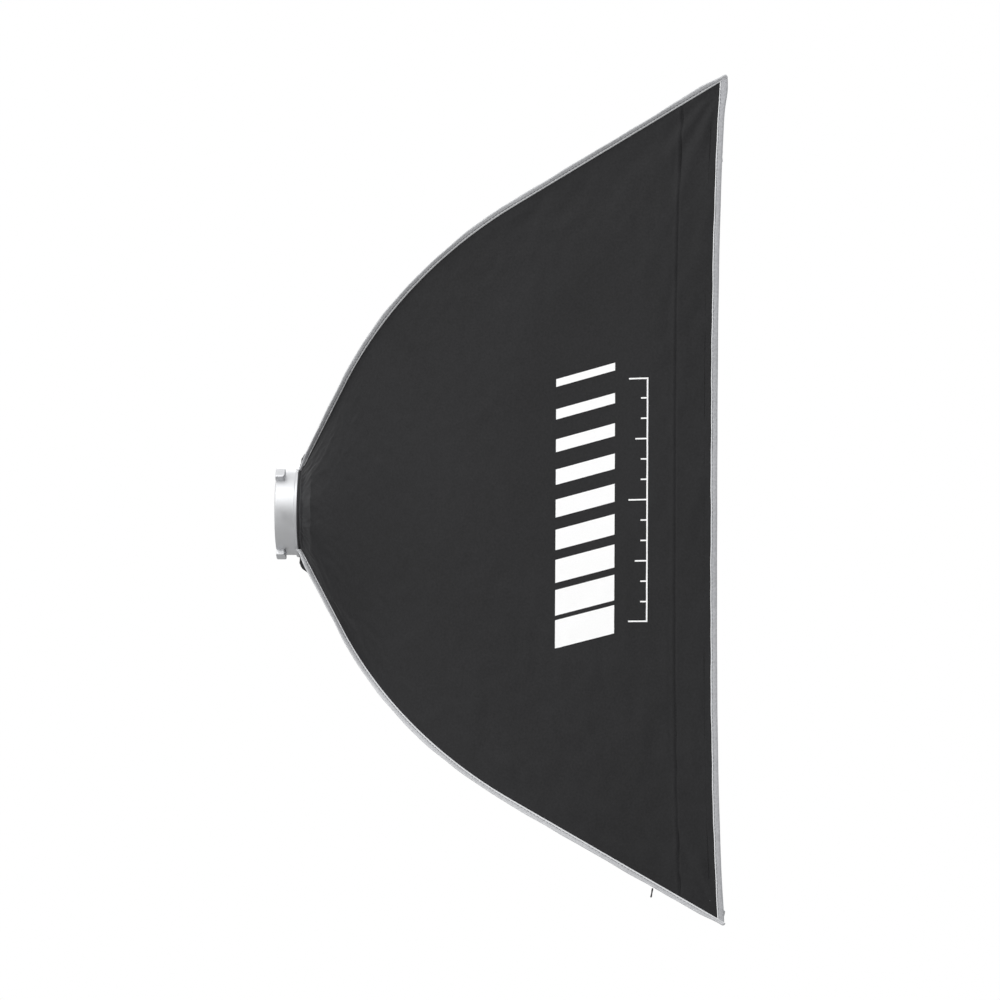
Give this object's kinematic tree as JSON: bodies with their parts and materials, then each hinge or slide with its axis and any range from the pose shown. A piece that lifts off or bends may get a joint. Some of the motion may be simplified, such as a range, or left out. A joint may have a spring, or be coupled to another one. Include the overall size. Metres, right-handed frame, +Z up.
{
  "type": "rectangular softbox",
  "caption": "Rectangular rod-framed softbox with bayonet insert, turning speedring, inner baffle and recessed front diffuser.",
  "frame": {"origin": "centre of the bayonet's seating face, on the optical axis", "axes": "-X towards the lamp and +X towards the front diffuser along the optical axis, +Z up along the long side of the front, Y along its short side"},
  "size_m": [0.509, 0.6036, 0.9064],
  "materials": {
    "aluminium": "satin turned",
    "cast_ring": "black semi-gloss",
    "zinc_steel": "zinc plated",
    "spring_steel": "satin",
    "black_plastic": "matte",
    "black_fabric": "woven, coated silver inside",
    "grey_tape": "woven binding tape",
    "loop_pile": "loop pile",
    "white_cloth": "plain woven",
    "black_ribbon": "ribbon"
  },
  "bodies": {
    "bayonet": {"bayonet_insert": "aluminium"},
    "softbox": {"speedring": "cast_ring", "clip_screw_1": "zinc_steel", "rod_ferrule_1": "zinc_steel", "rod_1": "spring_steel", "rod_tip_1": "black_plastic", "corner_pocket_1": "grey_tape", "seam_binding_1": "grey_tape", "baffle_strap_corner_1": "white_cloth", "clip_screw_2": "zinc_steel", "rod_ferrule_2": "zinc_steel", "rod_2": "spring_steel", "rod_tip_2": "black_plastic", "corner_pocket_2": "grey_tape", "seam_binding_2": "grey_tape", "baffle_strap_corner_2": "white_cloth", "clip_screw_3": "zinc_steel", "rod_ferrule_3": "zinc_steel", "rod_3": "spring_steel", "rod_tip_3": "black_plastic", "corner_pocket_3": "grey_tape", "seam_binding_3": "grey_tape", "baffle_strap_corner_3": "white_cloth", "clip_screw_4": "zinc_steel", "rod_ferrule_4": "zinc_steel", "rod_4": "spring_steel", "rod_tip_4": "black_plastic", "corner_pocket_4": "grey_tape", "seam_binding_4": "grey_tape", "baffle_strap_corner_4": "white_cloth", "panel_side_near": "black_fabric", "front_hem_side_near": "grey_tape", "loop_tape_side_near": "loop_pile", "baffle_strap_side_near": "white_cloth", "panel_side_far": "black_fabric", "front_hem_side_far": "grey_tape", "loop_tape_side_far": "loop_pile", "baffle_strap_side_far": "white_cloth", "panel_top": "black_fabric", "front_hem_top": "grey_tape", "loop_tape_top": "loop_pile", "baffle_strap_top": "white_cloth", "panel_bottom": "black_fabric", "front_hem_bottom": "grey_tape", "loop_tape_bottom": "loop_pile", "baffle_strap_bottom": "white_cloth", "baffle_cloth": "white_cloth", "ribbon_tab": "black_ribbon"},
    "clip_1": {"retaining_clip_1": "zinc_steel"},
    "clip_2": {"retaining_clip_2": "zinc_steel"},
    "clip_3": {"retaining_clip_3": "zinc_steel"},
    "clip_4": {"retaining_clip_4": "zinc_steel"},
    "diffuser": {"diffuser_cloth": "white_cloth", "hook_border_side_near": "white_cloth", "hook_border_side_far": "white_cloth", "hook_border_top": "white_cloth", "hook_border_bottom": "white_cloth", "diffuser_pull_tab": "black_ribbon"}
  },
  "joints": [
    {"name": "softbox_turn", "type": "hinge", "parent": "bayonet", "child": "softbox", "pos_m": [0, 0, 0], "axis": [1, 0, 0], "continuous": true},
    {"name": "clip_1_swivel", "type": "hinge", "parent": "softbox", "child": "clip_1", "pos_m": [0.0193, -0.0646, 0], "axis": [1, 0, 0], "range_deg": [0, 90]},
    {"name": "clip_2_swivel", "type": "hinge", "parent": "softbox", "child": "clip_2", "pos_m": [0.0193, 0, 0.0646], "axis": [1, 0, 0], "range_deg": [0, 90]},
    {"name": "clip_3_swivel", "type": "hinge", "parent": "softbox", "child": "clip_3", "pos_m": [0.0193, 0.0646, 0], "axis": [1, 0, 0], "range_deg": [0, 90]},
    {"name": "clip_4_swivel", "type": "hinge", "parent": "softbox", "child": "clip_4", "pos_m": [0.0193, 0, -0.0646], "axis": [1, 0, 0], "range_deg": [0, 90]},
    {"name": "diffuser_peel", "type": "slide", "parent": "softbox", "child": "diffuser", "axis": [1, 0, 0], "range_m": [0, 0.15]}
  ]
}
